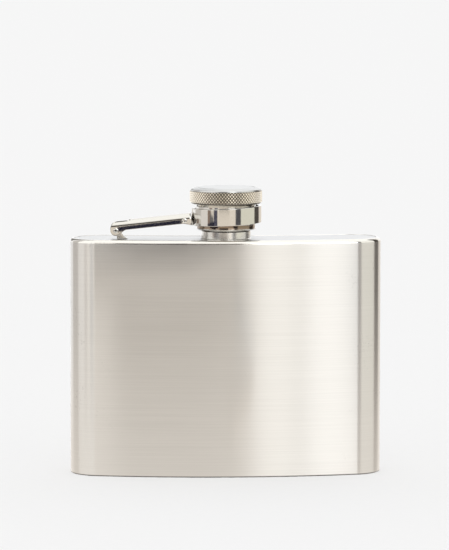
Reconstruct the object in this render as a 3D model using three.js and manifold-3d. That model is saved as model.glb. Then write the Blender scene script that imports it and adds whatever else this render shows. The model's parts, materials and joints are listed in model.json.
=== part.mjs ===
// A four-ounce pocket flask with a captive screw cap, standing upright.
// Millimetres, +Z up, +X across the width, the bowed front towards -Y, and the origin at the
// bottom, in the middle of the whole flask's width and depth. The cap hangs from a ring, the ring
// from a swinging arm, and the arm from a two-pin hinge on the top plate, so that the cap can
// lift off the neck and turn aside.
import * as THREE from "three";
import { mergeVertices } from "three/addons/utils/BufferGeometryUtils.js";
import Module from "manifold-3d";

const wasm = await Module();
wasm.setup();

// Body
const BODY_WIDTH = 95;
const BODY_HEIGHT = 72.2;
const BODY_THICKNESS = 19.8;
const BOW_RADIUS = 175; // of the middle line of the outline, seen from above
const WALL = 0.6;
const TOP_ROUNDING = 1.2;
const BOTTOM_ROUNDING = 0.4;
const SEAM_GAP = 0.06; // between the two shells, down the narrow sides
const PLATE_GAP = 0.1; // round the plates, where they are welded in
const TOP_OPENING = 1.35; // inset of the shells' opening from their outline
const BOTTOM_OPENING = 1;
const TOP_PLATE_RECESS = 0.1;

// Neck and cap: radii from the neck's axis, heights above the top plate
const BORE_RADIUS = 5.6;
const SPIGOT_RADIUS = 6.4;
const NECK_RADIUS = 6.85;
const FLANGE_RADIUS = 7.75;
const FLANGE_HEIGHT = 0.4;
const NECK_HEIGHT = 7;
const NECK_CHAMFER = 0.4;
const THREAD_RADIUS = 0.4; // of the rounded ridge
const THREAD_PITCH = 1.6;
const THREAD_TURNS = 2;
const NECK_THREAD_START = 3.3;
const SLEEVE_BOTTOM = 3.1;
const SLEEVE_THREAD_START = 3.9;
const SLEEVE_BORE = 8.05;
const SLEEVE_RADIUS = 9.15;
const LIP_RADIUS = 9.85;
const LIP_TOP = 3.95;
const SEAT_HEIGHT = 8.3; // underside of the closed end, where the gasket sits
const SEAT_THICKNESS = 1.2;
const PLUG_RADIUS = 10; // the part of the sleeve that is pressed into the head
const GASKET_RADIUS = 7.5;
const GASKET_THICKNESS = 1.1;
const HEAD_RADIUS = 11;
const HEAD_BOTTOM = 10.8;
const HEAD_TOP = 15.7;
const HEAD_WALL = 0.9;
const HEAD_FLAT_RADIUS = 8.8;
const FIT_GAP = 0.05;

// Ring: a strip bent round the sleeve, its two ends turned out as ears
const RING_INNER = 9.65;
const RING_OUTER = 10.5;
const RING_HEIGHT = 5.13;
const RING_MIDDLE = 7.15;
const RING_SHIFT = 0.25;
const RING_TILT = THREE.MathUtils.degToRad(2.5);
const EAR_INNER = 0.2;
const EAR_OUTER = 1.15;
const EAR_LOBE = 1.05;
const EAR_STEP = 0.5; // from the middle of the band's wall out to where the ears step down

// Hinge: pin centres across from the neck's axis and above the top plate
const BRACKET_PIN = { x: -32.25, z: 0.95 };
const LINK_PIN = { x: -33.55, z: 2.65 };
const RING_PIN = { x: -12.7, z: 5.6 };
const PIN_RADIUS = 0.5;
const PIN_HOLE = 0.6;
const PIN_HEAD_RADIUS = 0.8;
const PIN_HEAD = 0.25;
const CHEEK_INNER = 0.85;
const CHEEK_OUTER = 1.45;
const BRACKET_LOBE = 0.95;
const BRACKET_BASE = 0.35;
const BRACKET_TOE = 2.3; // how far the base runs past its pin, towards the neck
const LINK_HALF = 0.75;
const LINK_LOBE = 1.15;
const LINK_FOOT = 0.9;
const BARREL_HALF = 1.5;

// Arm: a channel, open below, whose sides rise from straight walls into an arched web. Its own
// x runs along it from the link pin, and its own z is square to that.
const ARM_SLOPE = THREE.MathUtils.degToRad(5.9);
const ARM_OUTER = 2.3;
const ARM_INNER = 1.65;
const ARM_FOOT = -0.1;
const ARM_SPRING = 1.3;
const ARM_CROWN = 2.95;
const ARM_WEB = 0.6;
const ARM_END = 23.1;
const ARM_LOBE = 1.65;
const ARM_SLOT_END = 4.35;

const TURN_SIDES = 48;
const SMALL_SIDES = 16;
const OUTLINE_SEGMENTS = 8;
const OVERRUN = 2; // how far a cutting shape runs past what it cuts

// The bowed outline is an arc of BOW_RADIUS with a round end at each side. The cap's head stands
// a little proud of the front, and the depth is measured from there to the back of the sides.
const HALF_CHORD = (BODY_WIDTH - BODY_THICKNESS) / 2;
const BOW_SWING = Math.asin(HALF_CHORD / BOW_RADIUS);
const BOW_RISE = BOW_RADIUS * (1 - Math.cos(BOW_SWING));
const NECK_Y = (HEAD_RADIUS - BOW_RISE - BODY_THICKNESS / 2) / 2;
const SIDE_Y = NECK_Y + BOW_RISE;
const BOW_CENTRE_Y = NECK_Y + BOW_RADIUS;
const PLATE_TOP = BODY_HEIGHT - TOP_PLATE_RECESS;

const FINISH = {
  brushed: { color: 0xc4c0ba, roughness: 0.32, metalness: 1 },
  polished: { color: 0xd8d4cc, roughness: 0.12, metalness: 1 },
  satin: { color: 0xc2b6a2, roughness: 0.3, metalness: 1 },
  seal: { color: 0xd9d7d0, roughness: 0.7, metalness: 0 },
};

// ---- from geometry to solid and back ----

function solidOf(geometry) {
  geometry.deleteAttribute("normal");
  geometry.deleteAttribute("uv");
  const merged = mergeVertices(geometry);
  const corners = merged.index.array;
  const triangles = [];
  for (let i = 0; i < corners.length; i += 3) {
    const [a, b, c] = corners.subarray(i, i + 3);
    if (a !== b && b !== c && c !== a) triangles.push(a, b, c);
  }
  return new wasm.Manifold(new wasm.Mesh({
    numProp: 3,
    vertProperties: merged.attributes.position.array,
    triVerts: Uint32Array.from(triangles),
  }));
}

function piece(name, solid, finish) {
  const mesh = solid.getMesh();
  const geometry = new THREE.BufferGeometry();
  geometry.setAttribute("position", new THREE.BufferAttribute(mesh.vertProperties, mesh.numProp));
  geometry.setIndex(new THREE.BufferAttribute(mesh.triVerts, 1));
  geometry.computeVertexNormals();
  const material = new THREE.MeshStandardMaterial({ ...FINISH[finish], flatShading: true });
  const made = new THREE.Mesh(geometry, material);
  made.name = name;
  return made;
}

// ---- basic solids ----

// A turned solid from [radius, height] points, which go up its outer side. They start and end
// on the axis, or go round a closed section.
function turned(profile, sides = TURN_SIDES) {
  const points = profile.map(([radius, height]) => new THREE.Vector2(radius, height));
  const onAxis = profile[0][0] === 0;
  if (!onAxis) points.push(points[0].clone());
  return solidOf(new THREE.LatheGeometry(points, sides).rotateX(Math.PI / 2));
}

function disc(radius, bottom, top, sides = TURN_SIDES) {
  return turned([[0, bottom], [radius, bottom], [radius, top], [0, top]], sides);
}

function block(from, to) {
  const size = to.map((value, i) => value - from[i]);
  const centre = to.map((value, i) => (value + from[i]) / 2);
  return solidOf(new THREE.BoxGeometry(...size).translate(...centre));
}

// A rod along Y through a pin centre.
function rod(centre, radius, halfLength) {
  const geometry = new THREE.CylinderGeometry(radius, radius, 2 * halfLength, SMALL_SIDES);
  return solidOf(geometry.translate(centre.x, 0, centre.z));
}

function headedPin(centre, halfGrip) {
  let pin = rod(centre, PIN_RADIUS, halfGrip + PIN_HEAD);
  for (const side of [-1, 1]) {
    const head = new THREE.CylinderGeometry(PIN_HEAD_RADIUS, PIN_HEAD_RADIUS, PIN_HEAD, SMALL_SIDES);
    head.translate(centre.x, side * (halfGrip + PIN_HEAD / 2), centre.z);
    pin = pin.add(solidOf(head));
  }
  return pin;
}

// A plate whose outline lies in the XZ plane, from one y to another.
function uprightPlate(shape, fromY, toY) {
  const options = { depth: toY - fromY, bevelEnabled: false, curveSegments: SMALL_SIDES / 2 };
  const geometry = new THREE.ExtrudeGeometry(shape, options);
  return solidOf(geometry.rotateX(Math.PI / 2).translate(0, toY, 0));
}

// The outline of two round lobes and the straight sides that touch both.
function lobes(first, firstRadius, second, secondRadius) {
  const across = new THREE.Vector2(second.x - first.x, second.z - first.z);
  const heading = across.angle();
  const flare = Math.acos((firstRadius - secondRadius) / across.length());
  const shape = new THREE.Shape();
  shape.absarc(first.x, first.z, firstRadius, heading + flare, heading - flare + 2 * Math.PI, false);
  shape.absarc(second.x, second.z, secondRadius, heading - flare, heading + flare, false);
  return shape;
}

class Helix extends THREE.Curve {
  constructor(radius, bottom) {
    super();
    this.radius = radius;
    this.bottom = bottom;
  }

  getPoint(t, target = new THREE.Vector3()) {
    const turn = 2 * Math.PI * THREAD_TURNS * t;
    const height = this.bottom + THREAD_PITCH * THREAD_TURNS * t;
    return target.set(this.radius * Math.cos(turn), this.radius * Math.sin(turn), height);
  }
}

function threadRidge(radius, bottom) {
  const section = new THREE.Shape().absarc(0, 0, THREAD_RADIUS, 0, 2 * Math.PI, false);
  return solidOf(new THREE.ExtrudeGeometry(section, {
    steps: THREAD_TURNS * TURN_SIDES / 2,
    curveSegments: 3,
    extrudePath: new Helix(radius, bottom),
  }));
}

// ---- body ----

function bodyOutline(inset) {
  const half = BODY_THICKNESS / 2 - inset;
  const down = -Math.PI / 2;
  const up = Math.PI / 2;
  const shape = new THREE.Shape();
  shape.absarc(0, BOW_CENTRE_Y, BOW_RADIUS + half, down - BOW_SWING, down + BOW_SWING, false);
  shape.absarc(HALF_CHORD, SIDE_Y, half, down + BOW_SWING, up + BOW_SWING, false);
  shape.absarc(0, BOW_CENTRE_Y, BOW_RADIUS - half, down + BOW_SWING, down - BOW_SWING, true);
  shape.absarc(-HALF_CHORD, SIDE_Y, half, up - BOW_SWING, up - BOW_SWING + Math.PI, false);
  return shape;
}

function bodySlab(inset, bottom, top, rounding = 0) {
  return solidOf(new THREE.ExtrudeGeometry(bodyOutline(inset), {
    depth: top - bottom - 2 * rounding,
    curveSegments: OUTLINE_SEGMENTS,
    bevelEnabled: rounding > 0,
    bevelThickness: rounding,
    bevelSize: rounding,
    bevelOffset: -rounding,
    bevelSegments: 3,
  }).translate(0, 0, bottom + rounding));
}

function bodyWall() {
  const outer = bodySlab(0, -OVERRUN, BODY_HEIGHT, TOP_ROUNDING)
    .intersect(bodySlab(0, 0, BODY_HEIGHT + OVERRUN, BOTTOM_ROUNDING));
  const inner = bodySlab(WALL, WALL, BODY_HEIGHT - WALL, TOP_ROUNDING - WALL);
  const middle = BODY_HEIGHT / 2;
  return outer
    .subtract(inner)
    .subtract(bodySlab(TOP_OPENING, middle, BODY_HEIGHT + OVERRUN))
    .subtract(bodySlab(BOTTOM_OPENING, -OVERRUN, middle));
}

function shellSide(wall, fromY, toY) {
  const reach = BODY_WIDTH;
  return wall.intersect(block([-reach, fromY, -OVERRUN], [reach, toY, BODY_HEIGHT + OVERRUN]));
}

function topPlate() {
  const plate = bodySlab(TOP_OPENING + PLATE_GAP, PLATE_TOP - WALL, PLATE_TOP);
  const hole = disc(SPIGOT_RADIUS + PLATE_GAP, PLATE_TOP - OVERRUN, PLATE_TOP + OVERRUN);
  return plate.subtract(hole.translate([0, NECK_Y, 0]));
}

// ---- neck and cap ----

function neck() {
  return turned([
    [BORE_RADIUS, -2 * WALL],
    [SPIGOT_RADIUS, -2 * WALL],
    [SPIGOT_RADIUS, 0],
    [FLANGE_RADIUS, 0],
    [FLANGE_RADIUS, FLANGE_HEIGHT],
    [NECK_RADIUS, FLANGE_HEIGHT],
    [NECK_RADIUS, NECK_HEIGHT - NECK_CHAMFER],
    [NECK_RADIUS - NECK_CHAMFER, NECK_HEIGHT],
    [BORE_RADIUS, NECK_HEIGHT],
  ]).add(threadRidge(NECK_RADIUS, NECK_THREAD_START));
}

function threadedSleeve() {
  const edge = (LIP_TOP - SLEEVE_BOTTOM) / 2;
  const plugBottom = HEAD_BOTTOM + FIT_GAP;
  const plugTop = HEAD_TOP - HEAD_WALL - FIT_GAP;
  const hollowRadius = PLUG_RADIUS - 2 * HEAD_WALL;
  return turned([
    [0, SEAT_HEIGHT],
    [SLEEVE_BORE, SEAT_HEIGHT],
    [SLEEVE_BORE, SLEEVE_BOTTOM],
    [SLEEVE_RADIUS, SLEEVE_BOTTOM],
    [LIP_RADIUS - edge / 3, SLEEVE_BOTTOM + edge / 2],
    [LIP_RADIUS, LIP_TOP - edge],
    [LIP_RADIUS, LIP_TOP],
    [SLEEVE_RADIUS, LIP_TOP],
    [SLEEVE_RADIUS, plugBottom],
    [PLUG_RADIUS, plugBottom],
    [PLUG_RADIUS, plugTop],
    [hollowRadius, plugTop],
    [hollowRadius, SEAT_HEIGHT + SEAT_THICKNESS],
    [0, SEAT_HEIGHT + SEAT_THICKNESS],
  ]).add(threadRidge(SLEEVE_BORE, SLEEVE_THREAD_START));
}

function capHead() {
  const chamfer = 0.5;
  const inner = PLUG_RADIUS + FIT_GAP;
  const shoulder = HEAD_TOP - 1.1;
  return turned([
    [0, HEAD_TOP - HEAD_WALL],
    [inner, HEAD_TOP - HEAD_WALL],
    [inner, HEAD_BOTTOM],
    [HEAD_RADIUS - chamfer, HEAD_BOTTOM],
    [HEAD_RADIUS, HEAD_BOTTOM + chamfer],
    [HEAD_RADIUS, shoulder],
    [HEAD_RADIUS - 0.35, shoulder + 0.45],
    [HEAD_RADIUS - 1, shoulder + 0.85],
    [HEAD_FLAT_RADIUS, HEAD_TOP],
    [0, HEAD_TOP],
  ]);
}

// ---- ring, hinge and arm ----

// The band is made about its own middle. Its ears are made where they lie, seen from the neck's
// axis, and run from inside the band's wall out to the ring pin.
function ringBand() {
  const half = RING_HEIGHT / 2;
  const edge = 0.15;
  return turned([
    [RING_INNER, -half],
    [RING_OUTER - edge, -half],
    [RING_OUTER, edge - half],
    [RING_OUTER, half - edge],
    [RING_OUTER - edge, half],
    [RING_INNER, half],
  ]);
}

function ringEars() {
  const root = RING_SHIFT - (RING_INNER + RING_OUTER) / 2;
  const low = RING_MIDDLE - RING_HEIGHT / 2;
  const high = RING_MIDDLE + RING_HEIGHT / 2 - 0.5;
  const shape = new THREE.Shape();
  shape.moveTo(root, low);
  shape.lineTo(root, high);
  shape.lineTo(root - EAR_STEP, high - EAR_STEP);
  shape.lineTo(root - EAR_STEP, RING_PIN.z + EAR_LOBE);
  shape.lineTo(RING_PIN.x, RING_PIN.z + EAR_LOBE);
  shape.absarc(RING_PIN.x, RING_PIN.z, EAR_LOBE, Math.PI / 2, 1.5 * Math.PI, false);
  shape.closePath();
  return [-1, 1].map((side) => {
    const [fromY, toY] = [side * EAR_INNER, side * EAR_OUTER].sort((a, b) => a - b);
    return uprightPlate(shape, fromY, toY);
  });
}

function capRing() {
  const tilted = ringBand()
    .rotate([0, -THREE.MathUtils.radToDeg(RING_TILT), 0])
    .translate([RING_SHIFT, 0, RING_MIDDLE]);
  const mouth = block([-HEAD_RADIUS, -EAR_INNER, 0], [0, EAR_INNER, HEAD_TOP]);
  let ring = tilted.subtract(mouth);
  for (const ear of ringEars()) ring = ring.add(ear);
  return ring.subtract(rod(RING_PIN, PIN_HOLE, ARM_OUTER));
}

function hingeBracket() {
  const { x, z } = BRACKET_PIN;
  const toe = x + BRACKET_TOE;
  const shape = new THREE.Shape();
  shape.moveTo(x - BRACKET_LOBE, 0);
  shape.lineTo(toe, 0);
  shape.lineTo(toe, BRACKET_BASE);
  shape.lineTo(x + BRACKET_LOBE, z);
  shape.absarc(x, z, BRACKET_LOBE, 0, Math.PI, false);
  shape.closePath();
  const heel = x - BRACKET_LOBE;
  let bracket = block([heel, -CHEEK_OUTER, 0], [toe, CHEEK_OUTER, BRACKET_BASE]);
  for (const side of [-1, 1]) {
    const [fromY, toY] = [side * CHEEK_INNER, side * CHEEK_OUTER].sort((a, b) => a - b);
    bracket = bracket.add(uprightPlate(shape, fromY, toY));
  }
  const clearance = rod(BRACKET_PIN, LINK_FOOT + PLATE_GAP, CHEEK_INNER);
  return bracket.subtract(clearance).subtract(rod(BRACKET_PIN, PIN_HOLE, ARM_OUTER));
}

function hingeLink() {
  const outline = lobes(BRACKET_PIN, LINK_FOOT, LINK_PIN, LINK_LOBE);
  return uprightPlate(outline, -LINK_HALF, LINK_HALF)
    .add(rod(LINK_PIN, LINK_LOBE, BARREL_HALF))
    .subtract(rod(BRACKET_PIN, PIN_HOLE, ARM_OUTER))
    .subtract(rod(LINK_PIN, PIN_HOLE, ARM_OUTER));
}

// A section across the arm, drawn in its YZ plane and run along its x.
function archedBar(half, foot, crown, fromX, toX) {
  const shape = new THREE.Shape();
  shape.moveTo(-half, foot);
  shape.lineTo(half, foot);
  shape.lineTo(half, ARM_SPRING);
  shape.absellipse(0, ARM_SPRING, half, crown - ARM_SPRING, 0, Math.PI, false);
  shape.closePath();
  const options = { depth: toX - fromX, bevelEnabled: false, curveSegments: SMALL_SIDES / 2 };
  const alongX = new THREE.Matrix4().makeBasis(
    new THREE.Vector3(0, 1, 0), new THREE.Vector3(0, 0, 1), new THREE.Vector3(1, 0, 0));
  return solidOf(new THREE.ExtrudeGeometry(shape, options).applyMatrix4(alongX).translate(fromX, 0, 0));
}

function armSide() {
  const nose = 0.6;
  const shape = new THREE.Shape();
  shape.absarc(0, 0, ARM_LOBE, Math.PI, 1.5 * Math.PI, false);
  shape.quadraticCurveTo(ARM_LOBE, -ARM_LOBE, 2 * ARM_LOBE, ARM_FOOT);
  shape.lineTo(ARM_END, ARM_FOOT);
  shape.lineTo(ARM_END, ARM_CROWN - nose);
  shape.lineTo(ARM_END - nose, ARM_CROWN + OVERRUN);
  shape.lineTo(ARM_SLOT_END, ARM_CROWN + OVERRUN);
  shape.lineTo(ARM_SLOT_END, ARM_CROWN);
  shape.quadraticCurveTo(-ARM_LOBE, ARM_CROWN, -ARM_LOBE, 0);
  return shape;
}

function arm() {
  const pinHoles = [
    { x: 0, z: 0 },
    ringPinFromArm(),
  ].map((centre) => rod(centre, PIN_HOLE, ARM_OUTER + OVERRUN));
  const low = -2 * OVERRUN;
  const channel = archedBar(ARM_OUTER, low, ARM_CROWN, -OVERRUN, ARM_END + OVERRUN)
    .subtract(archedBar(ARM_INNER, low - 1, ARM_CROWN - ARM_WEB, -2 * OVERRUN, ARM_END + 2 * OVERRUN));
  const slot = block([-OVERRUN, -ARM_INNER, 0], [ARM_SLOT_END, ARM_INNER, ARM_CROWN + OVERRUN]);
  const sides = uprightPlate(armSide(), -ARM_OUTER - OVERRUN, ARM_OUTER + OVERRUN);
  return channel.intersect(sides).subtract(slot).subtract(pinHoles[0]).subtract(pinHoles[1]);
}

function ringPinFromArm() {
  const x = RING_PIN.x - LINK_PIN.x;
  const z = RING_PIN.z - LINK_PIN.z;
  return {
    x: x * Math.cos(ARM_SLOPE) + z * Math.sin(ARM_SLOPE),
    z: z * Math.cos(ARM_SLOPE) - x * Math.sin(ARM_SLOPE),
  };
}

// ---- assembly ----

const flask = new THREE.Group();

const wall = bodyWall();
flask.add(
  piece("front_shell", shellSide(wall, -BODY_WIDTH, SIDE_Y - SEAM_GAP / 2), "brushed"),
  piece("back_shell", shellSide(wall, SIDE_Y + SEAM_GAP / 2, BODY_WIDTH), "brushed"),
  piece("top_plate", topPlate(), "brushed"),
  piece("bottom_plate", bodySlab(BOTTOM_OPENING + PLATE_GAP, 0, WALL), "brushed"),
);

// Everything on the top plate is placed from the foot of the neck.
const onPlate = new THREE.Group();
onPlate.position.set(0, NECK_Y, PLATE_TOP);
onPlate.add(
  piece("neck", neck(), "polished"),
  piece("threaded_sleeve", threadedSleeve(), "polished"),
  piece("cap_head", capHead(), "satin"),
  piece("gasket", disc(GASKET_RADIUS, SEAT_HEIGHT - GASKET_THICKNESS - FIT_GAP, SEAT_HEIGHT - FIT_GAP), "seal"),
  piece("cap_ring", capRing(), "polished"),
  piece("hinge_bracket", hingeBracket(), "polished"),
  piece("bracket_pin", rod(BRACKET_PIN, PIN_RADIUS, CHEEK_OUTER + FIT_GAP), "polished"),
  piece("hinge_link", hingeLink(), "polished"),
  piece("link_pin", headedPin(LINK_PIN, ARM_OUTER + FIT_GAP), "polished"),
  piece("ring_pin", headedPin(RING_PIN, ARM_OUTER + FIT_GAP), "polished"),
);
flask.add(onPlate);

const swingArm = piece("arm", arm(), "polished");
swingArm.position.set(LINK_PIN.x, 0, LINK_PIN.z);
swingArm.rotation.y = -ARM_SLOPE;
onPlate.add(swingArm);

export default flask;
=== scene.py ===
# The looks of a bowed hip flask in brushed steel, with its polished neck, ring, arm and hinge, and
# its knurled cap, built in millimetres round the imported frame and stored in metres.
import json
import math

import bmesh
import bpy
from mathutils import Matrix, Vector


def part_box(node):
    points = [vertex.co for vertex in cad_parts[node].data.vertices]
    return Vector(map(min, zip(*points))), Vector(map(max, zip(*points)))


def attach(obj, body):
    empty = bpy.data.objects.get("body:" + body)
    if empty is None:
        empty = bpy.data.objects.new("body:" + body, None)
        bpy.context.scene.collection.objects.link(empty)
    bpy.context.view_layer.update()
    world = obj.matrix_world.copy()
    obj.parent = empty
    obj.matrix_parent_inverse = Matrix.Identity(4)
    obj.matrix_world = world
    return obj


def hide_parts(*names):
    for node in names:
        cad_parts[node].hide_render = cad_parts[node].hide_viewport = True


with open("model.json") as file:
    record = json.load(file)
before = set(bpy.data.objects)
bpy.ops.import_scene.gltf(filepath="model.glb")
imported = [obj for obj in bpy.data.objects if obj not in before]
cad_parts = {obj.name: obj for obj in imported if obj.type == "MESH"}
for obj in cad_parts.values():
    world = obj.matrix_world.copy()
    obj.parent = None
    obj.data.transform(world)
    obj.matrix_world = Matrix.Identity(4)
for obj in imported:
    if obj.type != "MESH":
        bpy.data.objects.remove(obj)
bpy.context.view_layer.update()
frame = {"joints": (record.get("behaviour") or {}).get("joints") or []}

MM = 0.001


# ---- places, all in mm, from the frame ----

def joint_at(name):
    found = next(joint for joint in frame["joints"] if joint["name"] == name)
    return Vector(found["pos_m"]) / MM


def box_mm(node):
    low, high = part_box(node)
    return low / MM, high / MM


BRACKET_PIN = joint_at("link_pivot")
LINK_PIN = joint_at("arm_swing")
RING_PIN = joint_at("ring_pivot")
NECK_Y = joint_at("cap_spin").y
PLATE_TOP = box_mm("top_plate")[1].z
BODY_WIDTH = box_mm("front_shell")[1].x - box_mm("front_shell")[0].x
BODY_HEIGHT = box_mm("front_shell")[1].z

# Body: a band of one thickness along an arc, with half round ends
BODY_THICKNESS = 19.8
BOW_RADIUS = 175.0  # of the middle line of the band
WALL = 0.6
TOP_ROUNDING = 1.2
BOTTOM_ROUNDING = 0.4
TOP_OPENING = 1.35
BOTTOM_OPENING = 1.0
PLATE_GAP = 0.1
HALF_CHORD = (BODY_WIDTH - BODY_THICKNESS) / 2
BOW_SWING = math.asin(HALF_CHORD / BOW_RADIUS)
SIDE_Y = NECK_Y + BOW_RADIUS * (1 - math.cos(BOW_SWING))
BOW_CENTRE_Y = NECK_Y + BOW_RADIUS
SEAM = 0.03  # half the hairline between the two shells

# Neck and cap: radii from the neck's axis, heights above the top plate
NECK_HOLE = 6.5
BORE_RADIUS = 5.6
SPIGOT_RADIUS = 6.4  # the part of the neck that reaches into the body
SPIGOT_BOTTOM = -1.2
NECK_RADIUS = 6.85
NECK_HEIGHT = 7.0
FLANGE_RADIUS = 7.75
COLLAR_RADIUS = 7.45
COLLAR_TOP = 2.4
THREAD_PITCH = 1.6
THREAD_TURNS = 2
NECK_THREAD_START = 3.3
NECK_THREAD_HEIGHT = 0.38
SLEEVE_THREAD_START = 3.9
SLEEVE_THREAD_HEIGHT = 0.36
SLEEVE_BORE = 8.05
SLEEVE_RADIUS = 9.15
LIP_RADIUS = 9.15
GROOVE_RADIUS = LIP_RADIUS - 0.3
LIP_TOP = 3.35
GROOVE_TOP = 4.45
SLEEVE_BOTTOM = 2.8
SEAT_HEIGHT = 8.3
SLEEVE_CROWN = SEAT_HEIGHT + 1.2
RECESS_RADIUS = SLEEVE_RADIUS - 0.45  # under the head
GASKET_RADIUS = 7.5
PLUG_RADIUS = 10.0  # the part of the sleeve that is pressed into the head
PLUG_BORE = 8.2
HEAD_RADIUS = 11.0
HEAD_INSIDE = PLUG_RADIUS + 0.05
HEAD_BOTTOM = 10.8
HEAD_TOP = 15.7
KNURLS = 72
KNURL_ROWS = 3
KNURL_LOW = HEAD_BOTTOM + 0.5
KNURL_HIGH = HEAD_TOP - 1.1
KNURL_DEPTH = 0.28
GROUND_RADIUS = HEAD_RADIUS - KNURL_DEPTH  # the bottom of the cuts between the diamonds

# Ring and ears
RING_MIDLINE = 10.075
STRIP = 0.84
RING_HEIGHT = 5.13
RING_MIDDLE = 7.15
RING_SHIFT = 0.25
RING_TILT = math.radians(2.5)
EAR_Y = 0.65
EAR_LOBE = 1.05
EAR_BEND = 0.8

# Hinge: half widths are measured from the neck's middle plane
PIN_RADIUS = 0.5
PIN_HEAD_RADIUS = 0.8
PIN_HEAD = 0.25
HEADED_PIN_HALF = 2.6
BRACKET_PIN_HALF = 1.5
LINK_FOOT = 0.88
LINK_LOBE = 1.12
LINK_HALF = 0.72
BARREL_HALF = 1.46
BRACKET_LOBE = 0.93
BRACKET_TOE = 2.28
BRACKET_BASE = 0.34
BRACKET_HALF = 1.44
CHEEK_INNER = 0.86
CHEEK_OUTER = 1.45

# Arm: distances from the link pin, along the arm and square to it
ARM_SLOPE = math.radians(5.9)
ARM_OUTER = 2.3
ARM_SPRING = 1.3
ARM_CROWN = 2.95
ARM_FOOT = -0.1
ARM_WALL = 0.62
ARM_END = 23.1
ARM_LOBE = 1.62
ARM_SLOT_END = 4.35
ARM_SLOT = 1.65
SLOT_ROWS = 10


# ---- meshes ----

def lerp(a, b, t):
    return a + (b - a) * t


def steps(start, end, count):
    return [lerp(start, end, i / count) for i in range(count + 1)]


def rounded(corners, closed=True, pieces=5):
    """A line through corners (x, y, radius), each corner turned into an arc of its radius."""
    line = []
    last = len(corners) - 1
    for i, (x, y, radius) in enumerate(corners):
        here = Vector((x, y))
        if radius == 0 or (not closed and i in (0, last)):
            line.append((x, y))
            continue
        to_last = (Vector(corners[i - 1][:2]) - here).normalized()
        to_next = (Vector(corners[(i + 1) % len(corners)][:2]) - here).normalized()
        half = to_last.angle(to_next) / 2
        centre = here + (to_last + to_next).normalized() * radius / math.sin(half)
        start = here + to_last * radius / math.tan(half) - centre
        end = here + to_next * radius / math.tan(half) - centre
        for t in steps(0, 1, pieces):
            line.append(tuple(centre + start.slerp(end, t).normalized() * radius))
    return line


def sheet_faces(rows, columns, wrap_rows=False, wrap_columns=False):
    """Quads over a grid of points stored row by row."""
    faces = []
    for r in range(rows if wrap_rows else rows - 1):
        for c in range(columns if wrap_columns else columns - 1):
            low, high = r * columns, (r + 1) % rows * columns
            across = (c + 1) % columns
            faces.append((low + c, low + across, high + across, high + c))
    return faces


def new_object(name, points, faces):
    mesh = bpy.data.meshes.new(name)
    mesh.from_pydata([tuple(Vector(p) * MM) for p in points], [], faces)
    made = bpy.data.objects.new(name, mesh)
    bpy.context.scene.collection.objects.link(made)
    clean(made)
    return made


def clean(piece):
    """Joins points that meet and turns every face outwards."""
    merge = 0.002 * MM
    bm = bmesh.new()
    bm.from_mesh(piece.data)
    bmesh.ops.remove_doubles(bm, verts=bm.verts, dist=merge)
    bmesh.ops.dissolve_degenerate(bm, edges=bm.edges, dist=merge / 4)
    bmesh.ops.recalc_face_normals(bm, faces=bm.faces)
    bm.to_mesh(piece.data)
    bm.free()


def apply_modifiers(piece):
    evaluated = piece.evaluated_get(bpy.context.evaluated_depsgraph_get())
    mesh = bpy.data.meshes.new_from_object(evaluated)
    piece.modifiers.clear()
    piece.data = mesh


def bevel(piece, width, segments=2, angle=35):
    modifier = piece.modifiers.new("edge", "BEVEL")
    modifier.width = width * MM
    modifier.segments = segments
    modifier.limit_method = "ANGLE"
    modifier.angle_limit = math.radians(angle)
    apply_modifiers(piece)


def thicken(piece, thickness):
    """Gives a sheet its thickness inwards; the new inner faces take the piece's second material."""
    modifier = piece.modifiers.new("thickness", "SOLIDIFY")
    modifier.thickness = thickness * MM
    modifier.offset = -1
    modifier.use_even_offset = True
    modifier.material_offset = 1
    apply_modifiers(piece)


def join(piece, other):
    """Welds another closed mesh on to a piece and removes it."""
    modifier = piece.modifiers.new("weld", "BOOLEAN")
    modifier.operation = "UNION"
    modifier.solver = "EXACT"
    modifier.object = other
    apply_modifiers(piece)
    bpy.data.objects.remove(other)


def finish_piece(piece, body, node, material, sharp=32):
    """Shades a piece, gives it its material and puts it on its body in place of a CAD node. Edges
    that turn by more than sharp degrees stay sharp."""
    if not piece.data.materials:
        piece.data.materials.append(material)
    piece.data.shade_smooth()
    piece.data.set_sharp_from_angle(angle=math.radians(sharp))
    weighted = piece.modifiers.new("even_shading", "WEIGHTED_NORMAL")
    weighted.keep_sharp = True
    weighted.weight = 80
    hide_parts(node)
    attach(piece, body)
    return piece


def turned(name, profile, sides=128, closed=False, reshape=None):
    """A surface turned round the neck's axis from (radius, height above the top plate)."""
    points = []
    for i in range(sides):
        angle = 2 * math.pi * i / sides
        for radius, height in profile:
            reach = reshape(angle, radius, height) if reshape else radius
            points.append((reach * math.cos(angle), NECK_Y + reach * math.sin(angle),
                           PLATE_TOP + height))
    faces = sheet_faces(sides, len(profile), wrap_rows=True, wrap_columns=closed)
    return new_object(name, points, faces)


def pin(name, centre, half, headed=False):
    """A pin along Y whose two ends are domed, and headed if it is asked for."""
    wide = PIN_HEAD_RADIUS if headed else PIN_RADIUS
    side = rounded([(0, half - 0.08, 0), (0.4 * wide, half - 0.05, 0.1), (0.55 * wide, half, 0.08),
                    (wide, half - 0.12, 0)], closed=False, pieces=3)
    if headed:
        side += [(wide, half - PIN_HEAD), (PIN_RADIUS, half - PIN_HEAD)]
    profile = side + [(r, -y) for r, y in reversed(side)]
    points = []
    sides = 32
    for i in range(sides):
        angle = 2 * math.pi * i / sides
        for r, y in profile:
            points.append((centre.x + r * math.cos(angle), centre.y + y, centre.z + r * math.sin(angle)))
    return new_object(name, points, sheet_faces(sides, len(profile), wrap_rows=True))


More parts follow.
